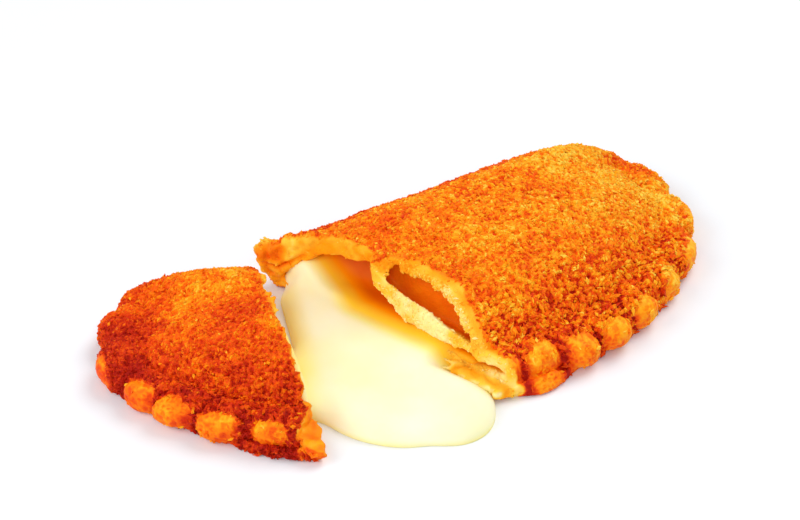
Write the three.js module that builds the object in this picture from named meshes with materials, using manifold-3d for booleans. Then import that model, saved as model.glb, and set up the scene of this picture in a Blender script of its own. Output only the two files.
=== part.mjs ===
import * as THREE from "three";
import Module from "manifold-3d";
import { mergeVertices } from "three/addons/utils/BufferGeometryUtils.js";

const wasm = await Module();
wasm.setup();
const { Manifold, Mesh } = wasm;

// A half-moon of breaded dough filled with cheese, cut in two, in millimetres.
// u runs along the folded back edge, v from that fold to the crimped front, z up.
// The source's X is u and its Y is -v.

// Outline of the whole snack
const HALF_LENGTH = 58.5;
const DEPTH = 60;
const WIDEST_AT = 20.5;
const FRONT_POWER = 1.95;
const BACK_POWER = 4.3;

// Thickness
const PEAK = 18.8;
const FOLD_HEIGHT = 11.2;
const RIM_HEIGHT = 7.2;
const RIM_WIDTH = 8.5;
const NOSE_RIM = 3.6;
const NOSE_FOLD = 5.2;
const DOME_POWER = 2.4;
const DOME_SOFTNESS = 0.8;

// Crimped edge
const TOOTH_PITCH = 9.7;
const TOOTH_REACH = 2.4;
const GROOVE_DEPTH = 2.6;
const GROOVE_WIDTH = 0.24;
const TOOTH_STEPS = [-0.96, -0.72, -0.36, 0, 0.36, 0.72];

// Crust of the browned outside
const CRAG = 0.32;
const CRAG_SIZE = 3.1;

// Cut through the large piece, from the fold to the front
const CUT_BACK = -31.5;
const CUT_FRONT = -7.2;
const CUT_SETBACK = 4.2;
const CUT_CORNER = 2.6;
const CUT_RAGGED = 0.5;

// Hollow inside the large piece
const WALL_TOP = 2.9;
const WALL_BACK = 1.2;
const FLOOR = 2.6;
const POCKET_INSET_RIM = 9.8;
const POCKET_INSET_FOLD = 4.6;

// Inner sheet of dough that hangs from the crust down to the front rim
const SHEET_BACK = 20;
const SHEET_FRONT = 36;
const SHEET_END = 54;
const SHEET_HIGH = 16.6;
const SHEET_LOW = 5.7;
const SHEET_THICK = 1.8;
const SHEET_SWELL = 2.4;
const SHEET_REACH = 19;

// Melted cheese
const GAP = 0.32;
const SLACK = 0.15;
const MELT_TOP = 4.7;
const MELT_BACK = 5;
const MELT_RISE = 15;
const MELT_START = 6;
const POOL_BACK = [-27, 6.5];
const POOL_BACK_RADIUS = 4;
const POOL_FRONT = [-24.3, 45.2];
const POOL_FRONT_RADIUS = 19.6;
const POOL_HEIGHT = 5.2;
const POOL_ROUND = 5.5;
const BRIDGE_FROM = [-33, 34.5];
const BRIDGE_TO = [-47, 36.5];
const BRIDGE_RADIUS = 9;
const BRIDGE_NARROW = 7.5;
const BRIDGE_BLEND = 5;

// Small piece
const SMALL_HALF_LENGTH = 61.4;
const SMALL_BACK_POWER = 5.5;
const SMALL_DEPTH = 48;
const SMALL_PITCH = 10.3;
const SMALL_PHASE = 0.5;
const SMALL_CUT_BACK = -32.6;
const SMALL_CUT_FRONT = -11;
const SMALL_TURN = 35;
const SMALL_CORNER = [-39.4, 7];

const LARGE = {
  half: HALF_LENGTH,
  depth: DEPTH,
  back: BACK_POWER,
  pitch: TOOTH_PITCH,
  phase: 0,
  seed: 3,
};
const SMALL = {
  half: SMALL_HALF_LENGTH,
  depth: SMALL_DEPTH,
  back: SMALL_BACK_POWER,
  pitch: SMALL_PITCH,
  phase: SMALL_PHASE,
  seed: 8,
};

const clamp = (x, a, b) => Math.min(b, Math.max(a, x));
const smooth = (x) => {
  const t = clamp(x, 0, 1);
  return t * t * (3 - 2 * t);
};
const mix = (a, b, t) => a + (b - a) * t;
const mix2 = (a, b, t) => [mix(a[0], b[0], t), mix(a[1], b[1], t)];
const bump = (x, centre, width) => Math.exp(-(((x - centre) / width) ** 2));

function hash(a, b, c) {
  const v = Math.sin(a * 127.1 + b * 311.7 + c * 74.7) * 43758.5453;
  return v - Math.floor(v);
}

// Smooth random field in three directions, from -1 to 1
function noise(x, y, z) {
  const i = Math.floor(x);
  const j = Math.floor(y);
  const k = Math.floor(z);
  const fx = smooth(x - i);
  const fy = smooth(y - j);
  const fz = smooth(z - k);
  let sum = 0;
  for (let a = 0; a < 2; a++) {
    for (let b = 0; b < 2; b++) {
      for (let c = 0; c < 2; c++) {
        const w = (a ? fx : 1 - fx) * (b ? fy : 1 - fy) * (c ? fz : 1 - fz);
        sum += w * hash(i + a, j + b, k + c);
      }
    }
  }
  return sum * 2 - 1;
}

// Outline radius about the middle of the widest line
function radius(phi, { half, depth, back }) {
  const c = Math.abs(Math.cos(phi));
  const s = Math.sin(phi);
  const reach = s > 0 ? depth - WIDEST_AT : WIDEST_AT;
  const power = s > 0 ? FRONT_POWER : back;
  return ((c / half) ** power + (Math.abs(s) / reach) ** power) ** (-1 / power);
}

// 1 along the crimped edge, 0 along the fold
function rimness(phi) {
  const below = Math.atan2(-Math.sin(phi), Math.abs(Math.cos(phi)));
  return 1 - clamp((below - 0.18) / 0.16, 0, 1);
}

// Arc length along the outline, 0 at the middle of the front
function arcTable(piece) {
  const steps = 4000;
  const phis = [];
  const arcs = [];
  let s = 0;
  let last = null;
  for (let i = 0; i <= steps; i++) {
    const phi = -Math.PI + (2 * Math.PI * i) / steps;
    const r = radius(phi, piece);
    const p = [r * Math.cos(phi), r * Math.sin(phi)];
    if (last) s += Math.hypot(p[0] - last[0], p[1] - last[1]);
    phis.push(phi);
    arcs.push(s);
    last = p;
  }
  const front = arcs[Math.round(steps * 0.75)];
  return { phis, arcs: arcs.map((a) => a - front) };
}

function lookup(xs, ys, x) {
  let lo = 0;
  let hi = xs.length - 1;
  while (hi - lo > 1) {
    const mid = (lo + hi) >> 1;
    if (xs[mid] <= x) lo = mid;
    else hi = mid;
  }
  const t = clamp((x - xs[lo]) / (xs[hi] - xs[lo] || 1), 0, 1);
  return mix(ys[lo], ys[hi], t);
}

const tables = new Map([LARGE, SMALL].map((piece) => [piece, arcTable(piece)]));

// Outline with its teeth, and the place across the tooth, at one direction
function edgeAt(piece, phi) {
  const table = tables.get(piece);
  const rim = rimness(phi);
  const arc = lookup(table.phis, table.arcs, phi) / piece.pitch + piece.phase;
  const tooth = Math.floor(arc + 0.5);
  const across = (arc - tooth) * 2;
  const lobe = Math.sqrt(Math.max(0, 1 - across * across));
  const reach = TOOTH_REACH * (0.8 + 0.4 * hash(tooth, piece.seed, 1)) * rim;
  const groove = Math.exp(-(((1 - Math.abs(across)) / GROOVE_WIDTH) ** 2)) * rim;
  const plain = radius(phi, piece);
  return { radius: plain + reach * (lobe - 0.6), plain, rim, groove };
}

// Directions around the outline, placed on the teeth, with wider steps on the fold
function directions(piece) {
  const { phis, arcs } = tables.get(piece);
  const list = [];
  const first = Math.ceil(arcs[0] / piece.pitch);
  const last = Math.floor(arcs[arcs.length - 1] / piece.pitch);
  for (let tooth = first - 1; tooth <= last + 1; tooth++) {
    for (const step of TOOTH_STEPS) {
      const arc = (tooth + step / 2 - piece.phase) * piece.pitch;
      if (arc < arcs[0] || arc >= arcs[arcs.length - 1] - 0.8) continue;
      list.push(lookup(arcs, phis, arc));
    }
  }
  return list.filter((phi, i) => rimness(phi) > 0 || i % 2 === 0);
}

// Height of the top and the bottom at a distance in from the edge with its teeth
function heights(edge, inset) {
  const half = mix(FOLD_HEIGHT, RIM_HEIGHT, edge.rim) / 2;
  const width = mix(NOSE_FOLD, NOSE_RIM, edge.rim);
  const nose = Math.sqrt(1 - (1 - clamp(inset / width, 0, 1)) ** 2);
  const flat = mix(2, RIM_WIDTH, edge.rim);
  const inner = inset - (edge.radius - edge.plain) * smooth((inset - 2) / 6);
  const x = clamp((inner - flat) / (edge.plain - flat), 0, 1);
  const dome = (1 - (1 - x) ** DOME_POWER) ** DOME_SOFTNESS;
  const fade = clamp(1 - (inset - 4) / 6, 0, 1);
  const top = half + half * nose + (PEAK - 2 * half) * dome - GROOVE_DEPTH * edge.groove * fade * nose;
  return { top, bottom: half * (1 - nose) };
}

function surface(piece, u, v) {
  const y = v - WIDEST_AT;
  const edge = edgeAt(piece, Math.atan2(y, u));
  return heights(edge, edge.radius - Math.hypot(u, y));
}

// Closed solid about a centre: rings of points that run in from a shared edge
function ringSolid(centre, edgePoints, topRings, bottomRings, heightAt) {
  const points = [];
  const faces = [];
  const n = edgePoints.length;
  const addRing = (inset, side) => {
    const start = points.length;
    edgePoints.forEach(([x, y], i) => {
      const dx = x - centre[0];
      const dy = y - centre[1];
      const reach = Math.hypot(dx, dy);
      const f = 1 - inset(reach) / reach;
      const u = centre[0] + dx * f;
      const v = centre[1] + dy * f;
      points.push([u, v, heightAt(u, v, i, inset(reach), reach, side)]);
    });
    return start;
  };
  const edge = addRing(() => 0, 0);
  const addSide = (rings, side) => {
    let outer = edge;
    for (const ring of rings) {
      const inner = addRing(ring, side);
      for (let i = 0; i < n; i++) {
        const j = (i + 1) % n;
        const quad = [outer + i, outer + j, inner + j, inner + i];
        if (side < 0) quad.reverse();
        faces.push([quad[0], quad[1], quad[2]], [quad[0], quad[2], quad[3]]);
      }
      outer = inner;
    }
    const tip = points.length;
    points.push([centre[0], centre[1], heightAt(centre[0], centre[1], 0, Infinity, Infinity, side)]);
    for (let i = 0; i < n; i++) {
      const j = (i + 1) % n;
      faces.push(side > 0 ? [outer + i, outer + j, tip] : [outer + j, outer + i, tip]);
    }
  };
  addSide(topRings, 1);
  addSide(bottomRings, -1);
  return toManifold(points, faces);
}

// Closed solid between two sheets of points, each given over a grid
function sheetSolid(na, nb, upper, lower) {
  const points = [];
  const faces = [];
  const at = (i, j, s) => (s * (na + 1) + i) * (nb + 1) + j;
  for (const sheet of [upper, lower]) {
    for (let i = 0; i <= na; i++) {
      for (let j = 0; j <= nb; j++) points.push(sheet(i / na, j / nb));
    }
  }
  const quad = (a, b, c, d) => faces.push([a, b, c], [a, c, d]);
  for (let i = 0; i < na; i++) {
    for (let j = 0; j < nb; j++) {
      quad(at(i, j, 0), at(i + 1, j, 0), at(i + 1, j + 1, 0), at(i, j + 1, 0));
      quad(at(i, j, 1), at(i, j + 1, 1), at(i + 1, j + 1, 1), at(i + 1, j, 1));
    }
  }
  for (let i = 0; i < na; i++) {
    quad(at(i, 0, 1), at(i + 1, 0, 1), at(i + 1, 0, 0), at(i, 0, 0));
    quad(at(i + 1, nb, 1), at(i, nb, 1), at(i, nb, 0), at(i + 1, nb, 0));
  }
  for (let j = 0; j < nb; j++) {
    quad(at(0, j + 1, 1), at(0, j, 1), at(0, j, 0), at(0, j + 1, 0));
    quad(at(na, j, 1), at(na, j + 1, 1), at(na, j + 1, 0), at(na, j, 0));
  }
  return toManifold(points, faces);
}

function toManifold(points, faces) {
  const geometry = new THREE.BufferGeometry();
  geometry.setAttribute("position", new THREE.Float32BufferAttribute(points.flat(), 3));
  geometry.setIndex(faces.flat());
  const merged = mergeVertices(geometry, 1e-5);
  const solid = new Manifold(new Mesh({
    numProp: 3,
    vertProperties: Float32Array.from(merged.attributes.position.array),
    triVerts: Uint32Array.from(merged.index.array),
  }));
  return solid.volume() < 0 ? flip(points, faces) : solid;
}

function flip(points, faces) {
  return toManifold(points, faces.map(([a, b, c]) => [a, c, b]));
}

// Outside of one piece before it is cut, larger by grow
function pillow(piece, grow) {
  const phis = directions(piece);
  const edges = phis.map((phi) => edgeAt(piece, phi));
  const centre = [0, WIDEST_AT];
  const outline = phis.map((phi, i) => {
    const r = edges[i].radius + grow;
    return [r * Math.cos(phi), WIDEST_AT + r * Math.sin(phi)];
  });
  const near = [0.3, 1.1, 2.3, 3.7, 5.6, 8.4];
  const far = [0.09, 0.2, 0.33, 0.5, 0.72];
  const ring = (d) => () => d + grow;
  const share = (f) => (reach) => 8.4 + grow + (reach - grow - 8.4) * f;
  const top = [...near.map(ring), ...far.map(share)];
  const bottom = [ring(0.3), ring(1.1), ring(2.3), ring(5.3), share(0.45)];
  return ringSolid(centre, outline, top, bottom, (u, v, i, inset, reach, side) => {
    const h = heights(edges[i], inset === Infinity ? 1e3 : Math.max(0, inset - grow));
    const depth = inset - grow;
    if (side < 0) return h.bottom - grow;
    if (side === 0) return mix(h.top, h.bottom, 0.5);
    const crag = noise(u / CRAG_SIZE, v / CRAG_SIZE, piece.seed) * CRAG;
    return h.top + grow + (depth > 2 ? crag : crag * 0.4);
  });
}

// Everything on the -u side of a cut
function knife(from, to, depth, setback, shift, seed) {
  const line = (v) => mix(from, to, v / depth);
  const face = (a, b) => {
    const v = mix(-14, depth + 14, a);
    const z = mix(-4, 26, b);
    const high = smooth((z - 7) / 8);
    const back = setback * high * smooth((v - 4) / 12) * smooth((50 - v) / 12);
    const corner = setback > 0 ? CUT_CORNER * smooth((8 - v) / 8) * bump(z, 8, 6) : 0;
    const ragged = CUT_RAGGED * noise(v / 2.6, z / 2.2, seed);
    return [line(v) + shift + back - corner + ragged, v, z];
  };
  return sheetSolid(34, 12, face, (a, b) => [-150, mix(-14, depth + 14, a), mix(-4, 26, b)]);
}

// Underside of the crust above the hollow
function crustUnder(piece, u, v) {
  const { top } = surface(piece, u, v);
  const back = WALL_BACK * smooth((26 - v) / 12);
  return top - WALL_TOP - back;
}

const cutLine = (v) => mix(CUT_BACK, CUT_FRONT, v / DEPTH);

// Hollow under the crust that holds the cheese, smaller by shrink
function pocket(piece, shrink) {
  const count = 72;
  const edgePoints = [];
  for (let i = 0; i < count; i++) {
    const phi = -Math.PI + (2 * Math.PI * (i + 0.5)) / count;
    const inset = mix(POCKET_INSET_FOLD, POCKET_INSET_RIM, rimness(phi)) + shrink;
    const r = radius(phi, piece) - inset;
    edgePoints.push([r * Math.cos(phi), WIDEST_AT + r * Math.sin(phi)]);
  }
  const share = (f) => (reach) => reach * f;
  const top = [() => 0.8, () => 2.2, () => 4.5, share(0.22), share(0.36), share(0.54), share(0.76)];
  const bottom = [() => 0.8, () => 2.2];
  return ringSolid([0, WIDEST_AT], edgePoints, top, bottom, (u, v, i, inset, reach, side) => {
    const depth = inset === Infinity ? 1e6 : inset;
    const nose = Math.sqrt(1 - (1 - clamp(depth / 3.2, 0, 1)) ** 2);
    const high = crustUnder(piece, u, v) - shrink;
    const low = FLOOR + shrink;
    const mid = low + 1.1;
    if (side === 0) return mid;
    return side > 0 ? mix(mid, Math.max(high, mid + 0.3), nose) : mix(mid, low, nose);
  });
}

// Sheet of dough that leaves the crust and hangs down to the front rim, thicker by grow
function hangingSheet(grow) {
  const point = (a, b, side) => {
    const v = mix(SHEET_BACK - 0.8 - grow, SHEET_END, b);
    const torn = 1.2 * noise(v / 3.1, 4.2, 7);
    const u = cutLine(v) + mix(-3, SHEET_REACH + grow, a) + torn * (1 - a);
    const under = mix(SHEET_HIGH, SHEET_LOW, smooth((v - SHEET_BACK) / (SHEET_FRONT - SHEET_BACK)));
    const thick = SHEET_THICK + SHEET_SWELL * bump(v, SHEET_FRONT - 1, 6);
    const wave = 0.35 * noise(u / 4, v / 4, 6);
    return [u, v, side > 0 ? under + thick + wave + grow : under + wave - grow];
  };
  return sheetSolid(7, 20, (a, b) => point(a, b, 1), (a, b) => point(a, b, -1));
}

// Everything under the surface of the cheese inside the large piece, which is low at the mouth
function underMelt() {
  const at = (a, b) => [mix(-12, 100, a ** 1.4), mix(0, DEPTH, b)];
  const upper = (a, b) => {
    const [inward, v] = at(a, b);
    const base = MELT_TOP + MELT_BACK * smooth((15 - v) / 8) - 1.2 * smooth((v - 44) / 10);
    const rise = 15 * smooth((inward - MELT_START) / MELT_RISE);
    return [cutLine(v) + inward, v, base + rise + 0.3 * noise(inward / 4, v / 4, 3)];
  };
  return sheetSolid(20, 20, upper, (a, b) => {
    const [inward, v] = at(a, b);
    return [cutLine(v) + inward, v, -2];
  });
}

// Signed distance to a band that widens from one circle to another
function bandDistance(p, from, to, r1, r2) {
  const dx = to[0] - from[0];
  const dy = to[1] - from[1];
  const length = Math.hypot(dx, dy);
  const slope = (r2 - r1) / length;
  const px = ((p[0] - from[0]) * dx + (p[1] - from[1]) * dy) / length;
  const py = Math.abs((p[0] - from[0]) * dy - (p[1] - from[1]) * dx) / length;
  const t = clamp((px + (py * slope) / Math.sqrt(1 - slope * slope)) / length, 0, 1);
  return Math.hypot(px - t * length, py) - mix(r1, r2, t);
}

// Outline of the cheese on the floor: a drop, and the tongue that reaches the small piece
function poolDistance(p) {
  const main = bandDistance(p, POOL_BACK, POOL_FRONT, POOL_BACK_RADIUS, POOL_FRONT_RADIUS);
  const tongue = bandDistance(p, BRIDGE_FROM, BRIDGE_TO, BRIDGE_RADIUS, BRIDGE_NARROW);
  const h = clamp(0.5 + (0.5 * (tongue - main)) / BRIDGE_BLEND, 0, 1);
  return mix(tongue, main, h) - BRIDGE_BLEND * h * (1 - h);
}

function poolTop(u, v) {
  const outward = cutLine(v) - u;
  return POOL_HEIGHT * mix(1, 0.86, smooth(outward / 12)) + 0.25 * noise(u / 7, v / 7, 4);
}

function pool() {
  const centre = mix2(POOL_BACK, POOL_FRONT, 0.78);
  const edgePoints = [];
  const count = 84;
  for (let i = 0; i < count; i++) {
    const phi = (2 * Math.PI * (i + 0.5)) / count;
    const direction = [Math.cos(phi), Math.sin(phi)];
    const at = (r) => [centre[0] + direction[0] * r, centre[1] + direction[1] * r];
    let r = 2;
    while (poolDistance(at(r)) < -1e-3 && r < 80) r -= poolDistance(at(r)) * 0.6;
    edgePoints.push(at(r + 0.5 * noise(2 * direction[0], 2 * direction[1], 5)));
  }
  const share = (f) => (reach) => reach * f;
  const top = [() => 0.35, () => 1.2, () => 2.6, () => 4.2, share(0.42), share(0.6), share(0.8)];
  const bottom = [() => 0.4, () => 1.4];
  return ringSolid(centre, edgePoints, top, bottom, (u, v, i, inset, reach, side) => {
    const depth = Math.min(inset === Infinity ? 1e6 : inset, Math.max(0, -poolDistance([u, v])) + 0.6);
    const nose = inset === 0 ? 0 : Math.sqrt(1 - (1 - clamp(depth / POOL_ROUND, 0, 1)) ** 2);
    const foot = Math.sqrt(1 - (1 - clamp(inset / 1.4, 0, 1)) ** 2);
    if (side <= 0) return 1.1 - 1.1 * (side < 0 ? foot : 0);
    return 1.1 + (poolTop(u, v) - 1.1) * nose;
  });
}

// Turn and move the small piece to its place beside the large one
function placeSmall(solid) {
  return solid
    .translate([-SMALL_CUT_BACK, 0, 0])
    .rotate([0, 0, SMALL_TURN])
    .translate([SMALL_CORNER[0], SMALL_CORNER[1], 0]);
}

const keepLarge = (shift) => knife(CUT_BACK, CUT_FRONT, DEPTH, CUT_SETBACK, shift, 2.5);
const keepSmall = (shift) => knife(SMALL_CUT_BACK, SMALL_CUT_FRONT, SMALL_DEPTH, 0, shift, 9.5);

const hollowLarge = pocket(LARGE, 0).subtract(hangingSheet(0));
const hollowSmall = pocket(SMALL, 0);
const pastryLarge = pillow(LARGE, 0).subtract(keepLarge(0)).subtract(hollowLarge);
const pastrySmall = placeSmall(pillow(SMALL, 0).intersect(keepSmall(0)).subtract(hollowSmall));

const inside = knife(CUT_BACK, CUT_FRONT, DEPTH, 0, -2, 1.5);
const filling = pocket(LARGE, GAP + SLACK).intersect(underMelt()).subtract(inside);
const fillingSmall = placeSmall(pocket(SMALL, GAP + SLACK).intersect(keepSmall(-0.6)));
const tightLarge = pocket(LARGE, GAP).subtract(hangingSheet(GAP));
const shellLarge = pillow(LARGE, GAP).subtract(keepLarge(-GAP)).subtract(tightLarge);
const shellSmall = placeSmall(pillow(SMALL, GAP).intersect(keepSmall(GAP)).subtract(pocket(SMALL, GAP)));
const cheese = pool().add(filling).add(fillingSmall).subtract(shellLarge).subtract(shellSmall);

const solids = [
  { name: "pastry_large", solid: pastryLarge, colour: 0xe8862a, roughness: 0.82 },
  { name: "pastry_small", solid: pastrySmall, colour: 0xd9661c, roughness: 0.85 },
  { name: "cheese", solid: cheese, colour: 0xfff3c4, roughness: 0.35 },
];

// Largest connected body of a solid, without loose scraps
function mainBody(solid) {
  return solid.decompose().reduce((a, b) => (a.volume() > b.volume() ? a : b));
}

function toGeometry(solid, offset) {
  const mesh = solid.getMesh();
  const positions = [];
  for (let i = 0; i < mesh.numVert; i++) {
    const [u, v, z] = mesh.vertProperties.slice(i * mesh.numProp, i * mesh.numProp + 3);
    positions.push(u - offset[0], -(v - offset[1]), z);
  }
  const index = [];
  for (let i = 0; i < mesh.triVerts.length; i += 3) {
    index.push(mesh.triVerts[i], mesh.triVerts[i + 2], mesh.triVerts[i + 1]);
  }
  const geometry = new THREE.BufferGeometry();
  geometry.setAttribute("position", new THREE.Float32BufferAttribute(positions, 3));
  geometry.setIndex(index);
  geometry.computeVertexNormals();
  return geometry;
}

// The origin is under the middle of everything, on the floor
const low = [Infinity, Infinity];
const high = [-Infinity, -Infinity];
for (const item of solids) {
  item.body = mainBody(item.solid);
  const box = item.body.boundingBox();
  for (let k = 0; k < 2; k++) {
    low[k] = Math.min(low[k], box.min[k]);
    high[k] = Math.max(high[k], box.max[k]);
  }
}
const offset = [(low[0] + high[0]) / 2, (low[1] + high[1]) / 2];

const snack = new THREE.Group();
snack.name = "cheese_souffle_snack";
for (const item of solids) {
  const material = new THREE.MeshStandardMaterial({
    color: item.colour,
    roughness: item.roughness,
    metalness: 0,
  });
  const mesh = new THREE.Mesh(toGeometry(item.body, offset), material);
  mesh.name = item.name;
  snack.add(mesh);
}

export default snack;
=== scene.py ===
import math
import bpy
import numpy as np
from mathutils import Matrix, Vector


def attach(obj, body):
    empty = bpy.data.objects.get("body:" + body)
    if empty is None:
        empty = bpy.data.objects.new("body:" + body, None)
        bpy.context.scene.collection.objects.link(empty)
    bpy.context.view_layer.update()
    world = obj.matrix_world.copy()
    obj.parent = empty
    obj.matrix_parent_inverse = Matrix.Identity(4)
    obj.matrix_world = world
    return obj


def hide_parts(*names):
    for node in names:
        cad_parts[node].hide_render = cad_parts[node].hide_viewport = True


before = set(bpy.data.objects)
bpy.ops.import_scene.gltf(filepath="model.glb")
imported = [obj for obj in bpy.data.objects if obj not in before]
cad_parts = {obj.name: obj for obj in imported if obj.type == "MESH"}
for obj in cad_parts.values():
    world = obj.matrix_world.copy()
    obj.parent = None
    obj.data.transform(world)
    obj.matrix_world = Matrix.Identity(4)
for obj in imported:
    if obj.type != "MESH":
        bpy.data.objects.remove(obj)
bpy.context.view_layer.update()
scene = bpy.context.scene

# Sizes are in millimetres until a mesh is made: u runs along the folded back edge, v from that
# fold to the crimped front, z up. A pair that says where something starts or ends is a place and
# the width of its soft edge. Three values for noise are its amount, size and seed.
ORIGIN_U = -9.07
ORIGIN_V = 30.63
MM = 0.001
STEP = 0.32
CHEESE_STEP = 0.6
MARGIN = 2
TINY = 1e-9

# Outline seen from above, and thickness
DEPTH = 60.0
WIDEST_AT = 20.5
FRONT_POWER = 1.95
ARC_SAMPLES = 4001
RIM_END = (0.18, 0.16)
PEAK = 18.6
FOLD_HEIGHT = 10.2
FOLD_WIDTH = 2.0
FOLD_SAG = 0.8
RIM_HEIGHT = 7.5
RIM_WIDTH = 8.0
NOSE_RIM = 3.4
NOSE_FOLD = 5.2
DOME_POWER = 2.4
DOME_SOFTNESS = 0.8
BODY_INSET = 1.6

# Crimped edge: round teeth along the rim, and a thin lip of dough under some of them
TOOTH_ROUND = 4.1
TOOTH_DEEP = 4.2
TOOTH_HALF = 3.3
TOOTH_HIGH = 3.6
TOOTH_INSET = 3.0
TOOTH_POWER = 2.5
TOOTH_SCALE = 3.6
TOOTH_SMALLEST = 0.92
TOOTH_VARIES = 0.16
TOOTH_BLEND = 0.7
FIRST_TOOTH = -9
LAST_TOOTH = 7
FULL_COVER = 9
NO_RIM = 30
GROOVE_DEPTH = 1.1
GROOVE_END = (9, 5)
LIFTED_HALF = 2.9
LIFTED_BACK = 1.9
LIP_REACH = 1.7
LIP_THICK = 2.1
LIP_ROUND = 0.5
LIP_BLEND = 0.4

# Cut through the large piece, from the fold to the front. Its upper crust is torn further back
CUT_BACK = -31.5
CUT_FRONT = -7.2
CUT_SETBACK = 4.2
SETBACK_START = (4, 12)
SETBACK_END = (50, 12)
CUT_CORNER = 2.8
CORNER_END = (8, 8)
CORNER_Z = (8, 6)
CUT_BLEND = 0.5
CUT_WAVE = ((0.6, 3.2, 5), (0.45, 1.3, 6))
WAVE_DEPTH = 3
WAVE_LOW = 0.35
WAVE_INSIDE = 0.5
KNOB = (-0.2, 2.4, 7.7)
KNOB_SIZE = (3.2, 3.2, 3.8)
KNOB_SCALE = 3
KNOB_BLEND = 0.8
CREASE = ((-1.0, 8.2), (0.5, 7.4), (3.7, 6.3), (7.9, 10.6))
CREASE_WIDTH = 0.55

# Hollow inside, under a crust whose thickness changes from the fold to the front
WALL_V = (0.0, 6.0, 8.2, 11.0, 14.0, 20.0, 22.0, 24.0, 27.0, 60.0)
WALL_THICK = (7.4, 6.8, 5.5, 4.4, 4.3, 3.9, 2.7, 2.1, 1.9, 2.1)
CRUST_START = (-1.4, 1.1)
FLOOR = 2.6
POCKET_INSET_RIM = 9.8
POCKET_INSET_FOLD = 6.4
POCKET_BELLY = 1.4
POCKET_ROUND = 3.2
POCKET_SCALE = 1.6
POCKET_LEAST = 0.4
POCKET_LENGTH = 30
POCKET_BLEND = 0.6

# Sheet of dough that leaves the crust and hangs down to the front rim: its underside and top
SHEET_V = (18, 21.5, 24.2, 26.0, 28.4, 31.0, 33.6, 36.2, 40.0, 44.4, 50.0)
SHEET_UNDER = (17.5, 16.8, 15.6, 13.0, 10.3, 8.3, 6.5, 5.8, 5.4, 5.5, 4.6)
SHEET_OVER = (18.0, 17.6, 16.9, 15.4, 14.4, 13.3, 12.6, 12.1, 11.0, 9.4, 7.5)
SHEET_THICK = 1.3
SHEET_SWELL_DEPTH = 5.2
SHEET_SLANT = 0.9
SHEET_SLANT_DEPTH = 8
SHEET_SCALE = 0.8
SHEET_REACH = 19.0
SHEET_JOIN = 12.0
SHEET_START = (21.5, 4)
SHEET_ABOVE = 0.5
AIR_END = (5.5, 4)

# Slit between the top and bottom sheets near the front rim, and the torn lip and shreds below it
SLIT_HIGH = 4.4
SLIT_HALF = 1.6
SLIT_NARROW = 0.6
SLIT_NARROWS = (46, 9)
SLIT_MIDDLE = 50.5
SLIT_LONG = 3.5
SLIT_END = 3
SLIT_DEEP = 4.0
LIP_OUT = 4.0
LIP_START = (44.5, 4)
LIP_END = (61, 2.5)
LIP_DEEP = 10
LIP_CENTRE = 52.5
LIP_LONG = 8
LIP_MIDDLE = 2.1
LIP_HALF = 1.15
LIP_RAGS = ((0.8, 1.9, 0), (0.6, 3.7, 1), (0.4, 6.1, 2))
RAGS_OUT = 0.5
RAGS_UP = 0.12
SHREDS = (
    ((47.0, -1.0, 2.6), (45.2, -2.2, 3.4), 0.6),
    ((48.2, -2.4, 2.6), (46.2, -3.8, 2.6), 0.6),
    ((46.6, 0.5, 3.0), (43.8, -0.4, 4.4), 0.5),
)
SHRED_TAPER = 0.6

# Melted cheese: its top in the hollow, and the pool that runs out between the two pieces. Its
# circles are given as u, v and radius
MELT_TOP = 4.7
MELT_BACK = 5.0
MELT_BACK_END = (15.5, 7.5)
MELT_FRONT = 1.2
MELT_FRONT_START = (44, 10)
MELT_FILL = 15
MELT_FILL_START = (6.0, 15.0)
MELT_DEPTH = 27
MELT_SCALE = 0.8
FILL_OVERLAP = 0.5
POOL_BACK = (-29.0, 9.2, 4.2)
POOL_FRONT = (-24.0, 43.6, 20.2)
POOL_LOBE = (-21.7, 57.7, 8.8)
POOL_SIDE = (-13.9, 61.7)
POOL_SIDE_NORMAL = (0.857, 0.515)
POOL_BLEND = 2.0
POOL_HEIGHT = 5.2
POOL_ROUND = 5.5
POOL_EDGE = 0.5
POOL_STEEP = 3.2
POOL_OUTER = 0.86
POOL_OUTER_START = (0, 12)
POOL_HEAP = 1.6
POOL_HEAP_END = (16, 8)
POOL_HEAP_OUT = (4, 4)
POOL_BACK_LOW = 0.35
POOL_BACK_END = (4.5, 5.5)
POOL_DIP = 0.7
POOL_DIP_START = (42, 5)
POOL_DIP_OUT = (8, 6)
BRIDGE_FROM = (-33.0, 34.5, 9.0)
BRIDGE_TO = (-47.0, 36.5, 7.5)
BRIDGE_BLEND = 5.0
OTHER_GAP = 0.05
OTHER_SHORT = 0.7
OTHER_DEPTH = 8
OUTSIDE_BLEND = 0.3
CHEESE_RIPPLE = (0.12, 9.0, 3)

# Small piece, in a frame of its own until it is turned and set down
SMALL_DEPTH = 48.0
SMALL_CUT_BACK = -32.6
SMALL_CUT_FRONT = -11.0
SMALL_CUT_WAVE = ((1.0, 2.9, 15), (0.8, 1.4, 16))
SMALL_POCKET_LENGTH = 9
SMALL_SETBACK = 1.8
SMALL_SETBACK_START = (4, 20)
SMALL_SETBACK_END = (44, 8)
SMALL_SETBACK_Z = (6, 4)
TIP_BACK = 5.0
TIP_START = 37.0
TIP_THICK = 3.2
TIP_FADE = 1.2
TIP_SHORT = 1.0
TIP_SHORT_START = (39, 7)
SMALL_TURN = math.radians(35)
SMALL_CORNER = (-39.4, 7.0)

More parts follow.
